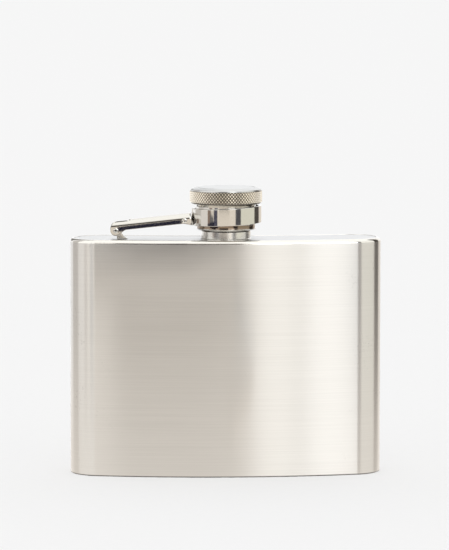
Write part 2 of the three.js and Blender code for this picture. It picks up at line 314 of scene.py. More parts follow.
def upright(name, outline, from_y, to_y):
    """A plate whose outline of (x, z) points lies in the XZ plane."""
    count = len(outline)
    points = [(x, y, z) for y in (from_y, to_y) for x, z in outline]
    faces = sheet_faces(2, count, wrap_columns=True)
    faces += [tuple(range(count)), tuple(range(2 * count - 1, count - 1, -1))]
    return new_object(name, points, faces)


def circle(x, z, radius, start=0, end=360, count=32):
    return [(x + radius * math.cos(math.radians(a)), z + radius * math.sin(math.radians(a)))
            for a in steps(start, end, count)]


# ---- body ----

def arc_run(centre_x, centre_y, radius, start, end, count, outward=1):
    """(x, y, outward normal) along one arc of the outline."""
    run = []
    for angle in steps(start, end, count):
        along = Vector((math.cos(angle), math.sin(angle)))
        run.append((Vector((centre_x, centre_y)) + along * radius, along * outward))
    return run


def half_outline(front):
    """The outline of one shell, from one narrow side to the other."""
    half = BODY_THICKNESS / 2
    down, up, seam = -math.pi / 2, math.pi / 2, SEAM / half
    if front:
        return (arc_run(-HALF_CHORD, SIDE_Y, half, -math.pi + seam, down - BOW_SWING, 24)[:-1]
                + arc_run(0, BOW_CENTRE_Y, BOW_RADIUS + half, down - BOW_SWING, down + BOW_SWING, 60)
                + arc_run(HALF_CHORD, SIDE_Y, half, down + BOW_SWING, -seam, 24)[1:])
    return (arc_run(HALF_CHORD, SIDE_Y, half, seam, up + BOW_SWING, 24)[:-1]
            + arc_run(0, BOW_CENTRE_Y, BOW_RADIUS - half, down + BOW_SWING, down - BOW_SWING, 60, -1)
            + arc_run(-HALF_CHORD, SIDE_Y, half, up - BOW_SWING, math.pi - seam, 24)[1:])


def shell_section():
    """The wall cut through, as (inset from the outline, height)."""
    corners = [
        *[(0, z, 0) for z in steps(4, BODY_HEIGHT - 4, 24)],
        (0, BODY_HEIGHT, TOP_ROUNDING),
        (TOP_OPENING, BODY_HEIGHT, 0.08),
        (TOP_OPENING, BODY_HEIGHT - WALL, 0.08),
        (WALL, BODY_HEIGHT - WALL, WALL),
        (WALL, WALL, 0.2),
        (BOTTOM_OPENING, WALL, 0.05),
        (BOTTOM_OPENING, 0, 0.05),
        (0, 0, BOTTOM_ROUNDING),
    ]
    return rounded(corners, pieces=6)


def shell(name, front):
    outline = half_outline(front)
    section = shell_section()
    points = []
    for place, normal in outline:
        for inset, height in section:
            spot = place - normal * inset
            points.append((spot.x, spot.y, height))
    faces = sheet_faces(len(outline), len(section), wrap_columns=True)
    last = len(points) - len(section)
    faces += [tuple(range(len(section))), tuple(range(last + len(section) - 1, last - 1, -1))]
    return new_object(name, points, faces)


def plate(name, inset, low, high, hole=0):
    """A flat plate of the body's outline, with its upper edge broken and a hole for the neck."""
    edge = 0.08
    outline = half_outline(True) + half_outline(False)
    rings = [(inset, low), (inset, high - edge), (inset + edge, high)]
    bm = bmesh.new()
    loops = []
    for step, height in rings:
        spots = [place - normal * step for place, normal in outline]
        loops.append([bm.verts.new((s.x * MM, s.y * MM, height * MM)) for s in spots])
    walls = [loops]
    if hole:
        ring = [(hole * math.cos(a), NECK_Y + hole * math.sin(a))
                for a in steps(0, 2 * math.pi, 96)[:-1]]
        walls.append([[bm.verts.new((x * MM, y * MM, z * MM)) for x, y in ring] for z in (low, high)])
    for stack in walls:
        for lower, upper in zip(stack, stack[1:]):
            for i, vert in enumerate(lower):
                bm.faces.new((lower[i - 1], vert, upper[i], upper[i - 1]))
    for level in (0, -1):
        border = []
        for stack in walls:
            ring = stack[level]
            border += [bm.edges.get((ring[i - 1], ring[i])) for i in range(len(ring))]
        bmesh.ops.triangle_fill(bm, use_beauty=True, edges=border)
    mesh = bpy.data.meshes.new(name)
    bm.to_mesh(mesh)
    bm.free()
    made = bpy.data.objects.new(name, mesh)
    bpy.context.scene.collection.objects.link(made)
    clean(made)
    return made


# ---- neck and cap ----

def thread(wall_radius, start, height):
    """Raises a rounded ridge on one turned wall, running out at both ends. A height below zero
    raises it inwards."""
    runout = 0.15
    half_ridge = THREAD_PITCH * 0.36

    def reshape(angle, radius, level):
        if abs(radius - wall_radius) > 0.001:
            return radius
        share = 0
        for lap in range(THREAD_TURNS + 1):
            along = angle / (2 * math.pi) + lap
            fade = min(1, along / runout, (THREAD_TURNS - along) / runout)
            off = abs(level - start - THREAD_PITCH * along) / half_ridge
            if fade > 0 and off < 1:
                share = max(share, fade * math.cos(off * math.pi / 2) ** 1.2)
        return radius + height * share
    return reshape


def neck():
    lower = rounded([
        (BORE_RADIUS, SPIGOT_BOTTOM, 0),
        (SPIGOT_RADIUS, SPIGOT_BOTTOM, 0.1),
        (SPIGOT_RADIUS, 0, 0),
        (FLANGE_RADIUS, 0, 0),
        (FLANGE_RADIUS, 0.12, 0.05),
        (COLLAR_RADIUS, 0.3, 0.1),
        (COLLAR_RADIUS, COLLAR_TOP, 0.15),
        (NECK_RADIUS, COLLAR_TOP + 0.2, 0.05),
        (NECK_RADIUS, NECK_THREAD_START - 0.4, 0),
    ], closed=False)
    wall = [(NECK_RADIUS, z) for z in steps(NECK_THREAD_START - 0.3, NECK_HEIGHT - 0.55, 46)]
    upper = rounded([
        (NECK_RADIUS, NECK_HEIGHT - 0.5, 0),
        (NECK_RADIUS, NECK_HEIGHT, 0.38),
        (BORE_RADIUS, NECK_HEIGHT, 0.3),
        (BORE_RADIUS, SPIGOT_BOTTOM, 0),
    ], closed=False)
    return turned("neck_turned", lower + wall + upper[:-1], sides=144, closed=True,
                  reshape=thread(NECK_RADIUS, NECK_THREAD_START, NECK_THREAD_HEIGHT))


def sleeve():
    """The cap's lower part: its bore carries the inside thread, and a groove runs above its lip."""
    seat = rounded([(0, SEAT_HEIGHT, 0), (SLEEVE_BORE, SEAT_HEIGHT, 0.2),
                    (SLEEVE_BORE, SEAT_HEIGHT - 0.7, 0)], closed=False)
    wall = [(SLEEVE_BORE, z) for z in steps(SEAT_HEIGHT - 0.8, SLEEVE_THREAD_START - 0.4, 50)]
    outside = rounded([
        (SLEEVE_BORE, SLEEVE_THREAD_START - 0.5, 0),
        (SLEEVE_BORE, SLEEVE_BOTTOM, 0.2),
        (LIP_RADIUS - 0.5, SLEEVE_BOTTOM, 0.2),
        (LIP_RADIUS, LIP_TOP - 0.2, 0.1),
        (LIP_RADIUS, LIP_TOP, 0.06),
        (GROOVE_RADIUS, LIP_TOP, 0.06),
        (GROOVE_RADIUS, GROOVE_TOP, 0.06),
        (SLEEVE_RADIUS, GROOVE_TOP + 0.1, 0.05),
        (SLEEVE_RADIUS, HEAD_BOTTOM - 0.85, 0.1),
        (RECESS_RADIUS, HEAD_BOTTOM - 0.05, 0.05),
        (RECESS_RADIUS, HEAD_BOTTOM + 0.05, 0.03),
        (PLUG_RADIUS, HEAD_BOTTOM + 0.05, 0.1),
        (PLUG_RADIUS, HEAD_TOP - 1.0, 0.2),
        (PLUG_BORE, HEAD_TOP - 1.0, 0.1),
        (PLUG_BORE, SLEEVE_CROWN, 0.3),
        (0, SLEEVE_CROWN, 0),
    ], closed=False)
    return turned("sleeve_turned", seat + wall + outside,
                  reshape=thread(SLEEVE_BORE, SLEEVE_THREAD_START, -SLEEVE_THREAD_HEIGHT))


def gasket():
    top, bottom = SEAT_HEIGHT - 0.05, SEAT_HEIGHT - 1.15
    profile = rounded([(0, bottom, 0), (GASKET_RADIUS, bottom, 0.3), (GASKET_RADIUS, top, 0.2),
                       (0, top, 0)], closed=False)
    return turned("gasket_disc", profile, sides=96)


def knurl_points():
    """Corners and faces of a band of small flat-topped diamonds, half a diamond at each edge."""
    points, faces = [], []
    tall = (KNURL_HIGH - KNURL_LOW) / KNURL_ROWS
    flat = 0.5  # the share of each diamond that its flat top takes

    def spot(column, level, radius):
        angle = 2 * math.pi * column / KNURLS
        points.append((radius * math.cos(angle), NECK_Y + radius * math.sin(angle),
                       PLATE_TOP + min(max(level, KNURL_LOW), KNURL_HIGH)))
        return len(points) - 1

    for row in range(2 * KNURL_ROWS + 1):
        middle = KNURL_LOW + tall * row / 2
        for column in range(KNURLS):
            centre = column + (row % 2) / 2
            outer, inner = [], []
            for across, rise in ((-0.5, 0), (0, -0.5), (0.5, 0), (0, 0.5)):
                level = middle + rise * tall
                if not KNURL_LOW - 1e-6 <= level <= KNURL_HIGH + 1e-6:
                    outer.append(None)
                    inner.append(None)
                    continue
                outer.append(spot(centre + across, level, GROUND_RADIUS))
                inner.append(spot(centre + across * flat, middle + rise * flat * tall, HEAD_RADIUS))
            if None in outer:
                gap = outer.index(None)
                outer = outer[gap + 1:] + outer[:gap]
                inner = inner[gap + 1:] + inner[:gap]
                middle_outer = spot(centre, middle, GROUND_RADIUS)
                faces.append((inner[0], inner[1], inner[2]))
                faces += [(outer[i], outer[i + 1], inner[i + 1], inner[i]) for i in range(2)]
                faces.append((outer[0], inner[0], inner[2], outer[2], middle_outer))
                continue
            faces.append(tuple(inner))
            faces += [(outer[i - 1], outer[i], inner[i], inner[i - 1]) for i in range(4)]
    return points, faces


def cap_head():
    """The knurled head: a smooth cup whose side is left open for the band of diamonds."""
    points, faces = knurl_points()
    lower = rounded([
        (HEAD_INSIDE, HEAD_BOTTOM, 0.1),
        (HEAD_RADIUS - 0.5, HEAD_BOTTOM, 0.1),
        (GROUND_RADIUS, KNURL_LOW, 0),
    ], closed=False)
    upper = rounded([
        (GROUND_RADIUS, KNURL_HIGH, 0),
        (HEAD_RADIUS - 0.3, HEAD_TOP - 0.55, 0.3),
        (HEAD_RADIUS - 1.6, HEAD_TOP - 0.12, 0.8),
        (8.85, HEAD_TOP - 0.03, 0.1),
        (8.65, HEAD_TOP - 0.18, 0.08),
        (8.35, HEAD_TOP, 0.08),
        (0, HEAD_TOP, 0),
    ], closed=False)
    inside = rounded([(0, HEAD_TOP - 0.9, 0), (HEAD_INSIDE, HEAD_TOP - 0.9, 0.3),
                      (HEAD_INSIDE, HEAD_BOTTOM, 0)], closed=False)
    sides = KNURLS * 2
    for profile in (inside + lower, upper):
        start = len(points)
        for i in range(sides):
            angle = 2 * math.pi * i / sides
            for radius, height in profile:
                points.append((radius * math.cos(angle), NECK_Y + radius * math.sin(angle),
                               PLATE_TOP + height))
        faces += [tuple(start + index for index in face)
                  for face in sheet_faces(sides, len(profile), wrap_rows=True)]
    return new_object("head_knurled", points, faces)


# ---- ring, hinge and arm ----

def ring_path():
    """(place, left normal, low edge, high edge) along the strip, from one ear's tip to the other."""
    bend_x = RING_SHIFT - math.sqrt((RING_MIDLINE + EAR_BEND) ** 2 - (EAR_Y + EAR_BEND) ** 2)
    meet = math.atan2(EAR_Y + EAR_BEND, RING_SHIFT - bend_x)
    centre_z = RING_PIN.z - PLATE_TOP
    path = []

    def edges(x):
        middle = RING_MIDDLE + (x - RING_SHIFT) * math.tan(RING_TILT)
        return middle - RING_HEIGHT / 2, middle + RING_HEIGHT / 2

    low, high = edges(bend_x)
    for angle in steps(82, 0, 8):
        x = RING_PIN.x - EAR_LOBE * math.sin(math.radians(angle))
        reach = EAR_LOBE * math.cos(math.radians(angle))
        path.append((Vector((x, EAR_Y)), Vector((0, 1)), centre_z - reach, centre_z + reach))
    for x in steps(RING_PIN.x + 0.4, bend_x - 0.02, 5):
        sunk = lerp(centre_z - EAR_LOBE, low, (x - RING_PIN.x) / (bend_x - RING_PIN.x))
        path.append((Vector((x, EAR_Y)), Vector((0, 1)), sunk, centre_z + EAR_LOBE))
    for t in steps(0, 1, 10):
        angle = lerp(-math.pi / 2, -meet, t)
        out = Vector((math.cos(angle), math.sin(angle)))
        rise = lerp(centre_z + EAR_LOBE, high - 0.1, min(1, t / 0.35) ** 0.6)
        path.append((Vector((bend_x, EAR_Y + EAR_BEND)) + out * EAR_BEND, -out, low, rise))
    for angle in steps(math.pi - meet, 0, 72)[1:]:
        out = Vector((math.cos(angle), math.sin(angle)))
        place = Vector((RING_SHIFT, 0)) + out * RING_MIDLINE
        path.append((place, out, *edges(place.x)))
    mirrored = [(Vector((p.x, -p.y)), Vector((n.x, -n.y)), lo, hi) for p, n, lo, hi in path[:-1]]
    return path + mirrored[::-1]


def cap_ring():
    path = ring_path()
    points = []
    for place, normal, low, high in path:
        half = (high - low) / 2
        corner = min(0.16, half * 0.8)
        section = rounded([(-STRIP / 2, low, corner), (STRIP / 2, low, corner),
                           (STRIP / 2, high, corner), (-STRIP / 2, high, corner)], pieces=3)
        for across, height in section:
            spot = place + normal * across
            points.append((spot.x, NECK_Y + spot.y, PLATE_TOP + height))
    columns = len(points) // len(path)
    faces = sheet_faces(len(path), columns, wrap_columns=True)
    last = len(points) - columns
    faces += [tuple(range(columns)), tuple(range(last + columns - 1, last - 1, -1))]
    return new_object("ring_strip", points, faces)


def lobed_outline(first, first_radius, second, second_radius):
    """The outline of two round lobes and the straight sides that touch both."""
    across = Vector((second.x - first.x, second.z - first.z))
    heading = math.degrees(math.atan2(across.y, across.x))
    flare = math.degrees(math.acos((first_radius - second_radius) / across.length))
    return (circle(first.x, first.z, first_radius, heading + flare, heading - flare + 360, 24)
            + circle(second.x, second.z, second_radius, heading - flare, heading + flare, 24))


def hinge_link():
    """A plate between the bracket's cheeks, with a wider barrel on the link pin."""
    link = upright("link_plate", lobed_outline(BRACKET_PIN, LINK_FOOT, LINK_PIN, LINK_LOBE),
                   NECK_Y - LINK_HALF, NECK_Y + LINK_HALF)
    bevel(link, 0.12, 3)
    barrel = upright("link_barrel", circle(LINK_PIN.x, LINK_PIN.z, LINK_LOBE)[:-1],
                     NECK_Y - BARREL_HALF, NECK_Y + BARREL_HALF)
    bevel(barrel, 0.1, 3)
    join(link, barrel)
    return link


def hinge_bracket():
    """A base on the top plate with a cheek on each side of the link."""
    heel, toe = BRACKET_PIN.x - BRACKET_LOBE, BRACKET_PIN.x + BRACKET_TOE
    base = upright("bracket_bent", rounded([
        (heel, PLATE_TOP, 0), (toe, PLATE_TOP, 0), (toe, PLATE_TOP + BRACKET_BASE, 0.15),
        (heel, PLATE_TOP + BRACKET_BASE, 0.15)]), NECK_Y - BRACKET_HALF, NECK_Y + BRACKET_HALF)
    for side in (-1, 1):
        outline = (circle(BRACKET_PIN.x, BRACKET_PIN.z, BRACKET_LOBE, 180, 0, 20)
                   + [(lerp(BRACKET_PIN.x + BRACKET_LOBE, toe, 0.5), PLATE_TOP + 0.5),
                      (toe, PLATE_TOP + 0.3), (toe, PLATE_TOP), (heel, PLATE_TOP)])
        near, far = sorted((NECK_Y + side * CHEEK_INNER, NECK_Y + side * CHEEK_OUTER))
        cheek = upright(f"cheek_{side}", outline, near, far)
        bevel(cheek, 0.08, 2)
        join(base, cheek)
    return base


def arm_place(along, across, rise):
    """A point of the arm's own frame, whose x runs from the link pin towards the ring."""
    return (LINK_PIN.x + along * math.cos(ARM_SLOPE) - rise * math.sin(ARM_SLOPE),
            LINK_PIN.y + across,
            LINK_PIN.z + along * math.sin(ARM_SLOPE) + rise * math.cos(ARM_SLOPE))


def arm_crown(across):
    """How high the arched top of the arm is at a distance from its middle."""
    return ARM_SPRING + (ARM_CROWN - ARM_SPRING) * math.sqrt(1 - (across / ARM_OUTER) ** 2)


def arm_wall_limits(along):
    """The lowest and highest point of the arm's side wall at a distance along it."""
    slot_rise = arm_crown(ARM_SLOT)
    if along < 0:
        low = -math.sqrt(max(0, ARM_LOBE ** 2 - along ** 2))
    else:
        t = min(1, along / (2 * ARM_LOBE))
        low = lerp(-ARM_LOBE, ARM_FOOT, t * t * (3 - 2 * t))
    t = min(1, max(0, (along + ARM_LOBE) / (1.25 * ARM_LOBE)))
    return low, slot_rise * math.sqrt(max(0, 1 - (1 - t) ** 2))


def arm_half_width(rise):
    if rise <= ARM_SPRING:
        return ARM_OUTER
    share = min(1, (rise - ARM_SPRING) / (ARM_CROWN - ARM_SPRING))
    return ARM_OUTER * math.sqrt(1 - share * share)


def arm_rows():
    """Distances along the arm, closer together round its hinge end."""
    nose = [-ARM_LOBE * math.cos(math.radians(a)) for a in steps(2, 90, 14)]
    slot = steps(0, ARM_SLOT_END, SLOT_ROWS)[1:]
    return nose + slot + steps(ARM_SLOT_END, ARM_END, 36)[1:]


def clear_arm_slot(arm):
    """Stands the slot's edges upright, so that the hinge bracket passes between them."""
    row_step = ARM_SLOT_END / SLOT_ROWS
    for vertex in arm.data.vertices:
        from_pin = vertex.co / MM - LINK_PIN
        along = from_pin.x * math.cos(ARM_SLOPE) + from_pin.z * math.sin(ARM_SLOPE)
        if along < ARM_SLOT_END - row_step / 2 and abs(from_pin.y) < ARM_SLOT:
            vertex.co.y = (LINK_PIN.y + math.copysign(ARM_SLOT, from_pin.y)) * MM


def swing_arm():
    """The outer skin of the channel as one sheet with its slot left out, then given its thickness."""
    rows = arm_rows()
    climbs, crosses = 16, 16
    slot_end = ARM_SLOT_END - 1e-6
    points, faces, grid = [], [], {}

    def add(row, column, place):
        grid[row, column] = len(points)
        points.append(place)

    for row, along in enumerate(rows):
        low, high = arm_wall_limits(along)
        for climb, rise in enumerate(steps(low, high, climbs)):
            half = arm_half_width(rise)
            add(row, climb, arm_place(along, -half, rise))
            add(row, 2 * climbs + crosses - climb, arm_place(along, half, rise))
        if along < slot_end:
            continue
        for cross in range(1, crosses):
            across = lerp(-ARM_SLOT, ARM_SLOT, cross / crosses)
            add(row, climbs + cross, arm_place(along, across, arm_crown(across)))
    for row in range(len(rows) - 1):
        for column in range(2 * climbs + crosses):
            corners = [(row, column), (row + 1, column), (row + 1, column + 1), (row, column + 1)]
            over_slot = climbs <= column < climbs + crosses and rows[row] < slot_end
            if not over_slot:
                faces.append(tuple(grid[corner] for corner in corners))
    arm = new_object("arm_channel", points, faces)
    # the second material, for the channel's inner faces, is rough steel whose near-black colour is painted
    # shade
    for material in (bright_steel, inner_shade_steel):
        arm.data.materials.append(material)
    thicken(arm, ARM_WALL)
    clear_arm_slot(arm)
    bevel(arm, 0.07, 2, 50)
    return arm


# ---- materials ----

STEEL = (0.66, 0.645, 0.62)
PLATE_STEEL = (0.68, 0.68, 0.68)
BRIGHT_STEEL = (0.70, 0.68, 0.64)
NECK_STEEL = (0.72, 0.70, 0.66)
# near-black colour of the arm's inner faces: painted shade on rough, unpolished steel
INNER_SHADE_STEEL = (0.13, 0.12, 0.11)
RIM_COLOUR = (0.78, 0.76, 0.72)
RIM_ROUGHNESS = 0.1
# brown of the painted shade in the sleeve's groove above its lip
GROOVE_SHADE_COLOUR = (0.26, 0.20, 0.15)
PIN_COLOUR = (0.72, 0.70, 0.66)
PIN_SHADOW = (0.04, 0.035, 0.03)
CAP_COLOUR = (0.95, 0.88, 0.77)
CAP_TOP_COLOUR = (0.61, 0.615, 0.61)
RUBBER_COLOUR = (0.80, 0.78, 0.74)


class Nodes:
    """Short ways to add nodes to one tree and link them as they are made."""

    def __init__(self, tree):
        self.tree = tree
        tree.nodes.clear()

    def add(self, kind, sockets=(), **settings):
        node = self.tree.nodes.new(kind)
        for key, value in settings.items():
            setattr(node, key, value)
        for key, value in dict(sockets).items():
            self.put(node.inputs[key], value)
        return node

    def put(self, socket, value):
        if isinstance(value, bpy.types.NodeSocket):
            self.tree.links.new(value, socket)
        else:
            socket.default_value = value

    def math(self, operation, *values, clamp=False):
        return self.add("ShaderNodeMath", enumerate(values), operation=operation,
                        use_clamp=clamp).outputs[0]

    def ramp(self, value, from_low, from_high, to_low, to_high):
        """value moved smoothly from one range to another and held at its ends."""
        node = self.add("ShaderNodeMapRange", interpolation_type="SMOOTHSTEP")
        for socket, given in zip(node.inputs, (value, from_low, from_high, to_low, to_high)):
            self.put(socket, given)
        return node.outputs[0]

    def mix(self, share, first, second):
        node = self.add("ShaderNodeMix", data_type="RGBA")
        self.put(node.inputs[0], share)
        self.put(node.inputs[6], first)
        self.put(node.inputs[7], second)
        return node.outputs[2]

    def parts(self, coordinates):
        return self.add("ShaderNodeSeparateXYZ", {"Vector": coordinates}).outputs

    def between(self, value, low, high, edge):
        """1 from low to high and 0 outside, changing over a width of edge."""
        above = self.ramp(value, low, low + edge, 0.0, 1.0)
        below = self.ramp(value, high, high + edge, 1.0, 0.0)
        return self.math("MULTIPLY", above, below)

    def reach(self, aside, rise):
        """The length of the line whose two parts are given."""
        return self.math("SQRT", self.math("ADD", self.math("MULTIPLY", aside, aside),
                                           self.math("MULTIPLY", rise, rise)))

    def stretched(self, coordinates, scale):
        node = self.add("ShaderNodeMapping", {"Vector": coordinates})
        node.inputs["Scale"].default_value = scale
        return node.outputs[0]

    def noise(self, coordinates, scale, detail=2.0, roughness=0.5):
        return self.add("ShaderNodeTexNoise", {"Vector": coordinates, "Scale": scale, "Detail": detail,
                                               "Roughness": roughness}).outputs["Fac"]


def new_material(name, metallic=1.0):
    material = bpy.data.materials.new(name)
    material.use_nodes = True
    nodes = Nodes(material.node_tree)
    shader = nodes.add("ShaderNodeBsdfPrincipled", {"Metallic": metallic})
    nodes.add("ShaderNodeOutputMaterial", {"Surface": shader.outputs[0]})
    place = nodes.add("ShaderNodeTexCoord").outputs["Object"]
    return material, nodes, shader, place


def shade(colour, factor=1.0):
    return (*(channel * factor for channel in colour), 1.0)


def dress(nodes, shader, colour, roughness, height, strength, deep):
    """Links a metal's colour and roughness, and a bump that is deep mm at its full strength."""
    bump = nodes.add("ShaderNodeBump", {"Strength": strength, "Distance": deep * MM, "Height": height})
    nodes.put(shader.inputs["Base Color"], colour)
    nodes.put(shader.inputs["Roughness"], roughness)
    nodes.put(shader.inputs["Normal"], bump.outputs[0])


def brushed_material(name, colour, roughness, lines, anisotropy, strength, rim=False):
    """Steel with fine straight brush lines; lines is how fast they change along x, y and z, and
    strength is the strength of their bump. With rim, the top edge is polished and the edge that the
    shells stand on carries a painted contact shadow."""
    material, nodes, shader, place = new_material(name)
    parts = nodes.parts(place)
    shader.inputs["Anisotropic"].default_value = anisotropy
    shader.inputs["Anisotropic Rotation"].default_value = 0.25
    tangent = nodes.add("ShaderNodeTangent", direction_type="RADIAL", axis="Z")
    nodes.put(shader.inputs["Tangent"], tangent.outputs[0])
    fine = nodes.noise(nodes.stretched(place, lines), 1.0, 3.0, 0.65)
    patches = nodes.noise(place, 60.0, 2.0)
    tone = nodes.ramp(fine, 0.3, 0.7, 0.0, 1.0)
    steel = nodes.mix(tone, shade(colour, 0.965), shade(colour, 1.02))
    spread = nodes.math("MULTIPLY_ADD", fine, 0.06, roughness - 0.03)
    spread = nodes.math("MULTIPLY_ADD", patches, 0.03, spread)
    if rim:
        polished = nodes.ramp(parts["Z"], (BODY_HEIGHT - 1.25) * MM, (BODY_HEIGHT - 1.0) * MM, 0.0, 1.0)
        steel = nodes.mix(polished, steel, shade(RIM_COLOUR))
        spread = nodes.math("MULTIPLY_ADD", polished, RIM_ROUGHNESS - roughness, spread)
        # painted shadow: the lowest half millimetre of the shells is darkened as a contact line
        clear = nodes.ramp(parts["Z"], 0.15 * MM, 0.5 * MM, 0.0, 1.0)
        steel = nodes.mix(clear, shade(colour, 0.12), steel)
    speckle = nodes.ramp(nodes.noise(place, 1300.0, 5.0, 0.7), 0.55, 0.66, 0.0, 1.0)
    smudge = nodes.ramp(nodes.noise(place, 90.0, 3.0), 0.5, 0.62, 0.0, 1.0)
    aside = nodes.math("ABSOLUTE", parts["X"])
    handled = nodes.ramp(aside, (HALF_CHORD - 5) * MM, (HALF_CHORD + 3) * MM, 0.0, 1.0)
    scuff = nodes.math("MULTIPLY", nodes.math("MULTIPLY", speckle, smudge), handled)
    steel = nodes.mix(nodes.math("MULTIPLY", scuff, 0.3), steel, shade(colour, 0.55))
    spread = nodes.math("MULTIPLY_ADD", scuff, 0.1, spread)
    dress(nodes, shader, steel, spread, fine, strength, 0.02)
    return material


def polished_material(name, colour, roughness, groove=None):
    """Bright steel with faint hairline scratches and handling haze. A groove is the two heights, in
    mm, between which a brown band of painted shade lies."""
    material, nodes, shader, place = new_material(name)
    haze = nodes.noise(place, 900.0, 3.0)
    hairs = nodes.noise(nodes.stretched(place, (900, 900, 9000)), 1.0, 2.0)
    steel = nodes.mix(haze, shade(colour, 0.97), shade(colour, 1.02))
    if groove:
        low, high = groove
        # painted shade: the steel turns brown between the groove's two heights
        groove_shade = nodes.between(nodes.parts(place)["Z"], low * MM, high * MM, 0.05 * MM)
        steel = nodes.mix(groove_shade, steel, shade(GROOVE_SHADE_COLOUR))
    dress(nodes, shader, steel, nodes.math("MULTIPLY_ADD", haze, 0.06, roughness - 0.03), hairs, 0.05, 0.01)
    return material


def pin_material(name, centre, dark_from, dark_to):
    """Polished steel for a pin along Y, with painted shade between two radii of its domed end."""
    material, nodes, shader, place = new_material(name)
    parts = nodes.parts(place)
    aside = nodes.math("SUBTRACT", parts["X"], centre.x * MM)
    rise = nodes.math("SUBTRACT", parts["Z"], centre.z * MM)
    soft = 0.05
    # painted shade: a dark band between the two radii on the pin's end
    dark = nodes.between(nodes.reach(aside, rise), (dark_from - soft) * MM, (dark_to - soft) * MM,
                         2 * soft * MM)
    haze = nodes.noise(place, 900.0, 3.0)
    steel = nodes.mix(dark, shade(PIN_COLOUR), shade(PIN_SHADOW))
    dress(nodes, shader, steel, nodes.math("MULTIPLY_ADD", haze, 0.1, 0.15), haze, 0.05, 0.01)
    return material


def satin_material(name, colour, roughness):
    """Warm satin plate for the cap's head, with painted shade in the cuts of the knurling and under the
    head.
    """
    material, nodes, shader, place = new_material(name)
    parts = nodes.parts(place)
    reach = nodes.reach(parts["X"], nodes.math("SUBTRACT", parts["Y"], NECK_Y * MM))
    height = nodes.math("SUBTRACT", parts["Z"], PLATE_TOP * MM)
    proud = nodes.ramp(reach, GROUND_RADIUS * MM, (HEAD_RADIUS - 0.02) * MM, 0.0, 1.0)
    on_top = nodes.ramp(height, KNURL_HIGH * MM, (KNURL_HIGH + 0.2) * MM, 0.0, 1.0)
    above_foot = nodes.ramp(height, HEAD_BOTTOM * MM, KNURL_LOW * MM, 0.0, 1.0)
    grain = nodes.noise(place, 1500.0, 2.0)
    # painted shade: the cuts between the diamonds are darkened to a tenth
    tone = nodes.mix(proud, shade(colour, 0.1), shade(colour))
    tone = nodes.mix(on_top, tone, shade(CAP_TOP_COLOUR))
    # painted shade: below the knurling, under the head, the plate is darkened
    tone = nodes.mix(above_foot, shade(colour, 0.12), tone)
    tone = nodes.mix(nodes.math("MULTIPLY", grain, 0.12), tone, shade(colour, 0.8))
    dress(nodes, shader, tone, nodes.math("MULTIPLY_ADD", grain, 0.06, roughness - 0.03), grain, 0.04, 0.02)
    return material


def rubber_material(name, colour):
    """Pale rubber, mottled in tone and gloss."""
    material, nodes, shader, place = new_material(name, metallic=0.0)
    grain = nodes.noise(place, 3000.0, 2.0)
    nodes.put(shader.inputs["Base Color"], nodes.mix(grain, shade(colour, 0.9), shade(colour)))
    nodes.put(shader.inputs["Roughness"], nodes.math("MULTIPLY_ADD", grain, 0.2, 0.5))
    return material


# ---- studio ----

CAMERA_TURN = math.radians(-2.056)
CAMERA_RISE = math.radians(6.858)
CAMERA_DISTANCE = 1113.0
AIM = Vector((-0.37, 0.55, BODY_HEIGHT / 2 + 24.6))
LENS = 237.95
FLOOR_REACH = 90000
PAPER = (1, 1, 1)


def add_camera():
    """The camera stands a little to the left of the front and looks slightly down."""
    back = Vector((math.sin(CAMERA_TURN) * math.cos(CAMERA_RISE),
                   -math.cos(CAMERA_TURN) * math.cos(CAMERA_RISE), math.sin(CAMERA_RISE)))
    place = Vector((0, AIM.y, BODY_HEIGHT / 2)) + back * CAMERA_DISTANCE
    data = bpy.data.cameras.new("camera")
    data.lens = LENS
    data.sensor_width = 36
    camera = bpy.data.objects.new("camera", data)
    camera.location = place * MM
    camera.rotation_euler = (AIM - place).to_track_quat("-Z", "Y").to_euler()
    bpy.context.scene.collection.objects.link(camera)
    bpy.context.scene.camera = camera


def add_floor():
    """Plain pale paper, wide enough that its far edge meets the backdrop."""
    corners = [(x * FLOOR_REACH, y * FLOOR_REACH, 0) for x, y in ((-1, -1), (1, -1), (1, 1), (-1, 1))]
    floor = new_object("floor", corners, [(0, 1, 2, 3)])
    material, nodes, shader, place = new_material("paper", metallic=0.0)
    grain = nodes.noise(place, 400.0, 3.0)
    nodes.put(shader.inputs["Base Color"], nodes.mix(grain, shade(PAPER, 0.86), shade(PAPER, 0.88)))
    shader.inputs["Roughness"].default_value = 1.0
    shader.inputs["Specular IOR Level"].default_value = 0.0
    floor.data.materials.append(material)
    floor.visible_glossy = False


def add_near_card(name, points, faces, colour):
    """A card near the flask that only shows in its reflections."""
    card = new_object(name, points, faces)
    material = bpy.data.materials.new(name)
    material.use_nodes = True
    nodes = Nodes(material.node_tree)
    glow = nodes.add("ShaderNodeEmission", {"Color": shade(colour), "Strength": 1.0})
    nodes.add("ShaderNodeOutputMaterial", {"Surface": glow.outputs[0]})
    card.data.materials.append(material)
    card.visible_camera = False
    card.visible_diffuse = False
    card.visible_shadow = False


def curved_card(from_turn, to_turn, distance, low, high):
    """A piece of an upright cylinder round the flask."""
    turns = steps(math.radians(from_turn), math.radians(to_turn), 24)
    points = [(distance * math.sin(turn), -distance * math.cos(turn), height)
              for height in (low, high) for turn in turns]
    return points, sheet_faces(2, len(turns))


def flat_card(corners, y):
    """An upright card that faces the front of the flask, from its (x, z) corners."""
    return [(x, y, z) for x, z in corners], [tuple(range(len(corners)))]


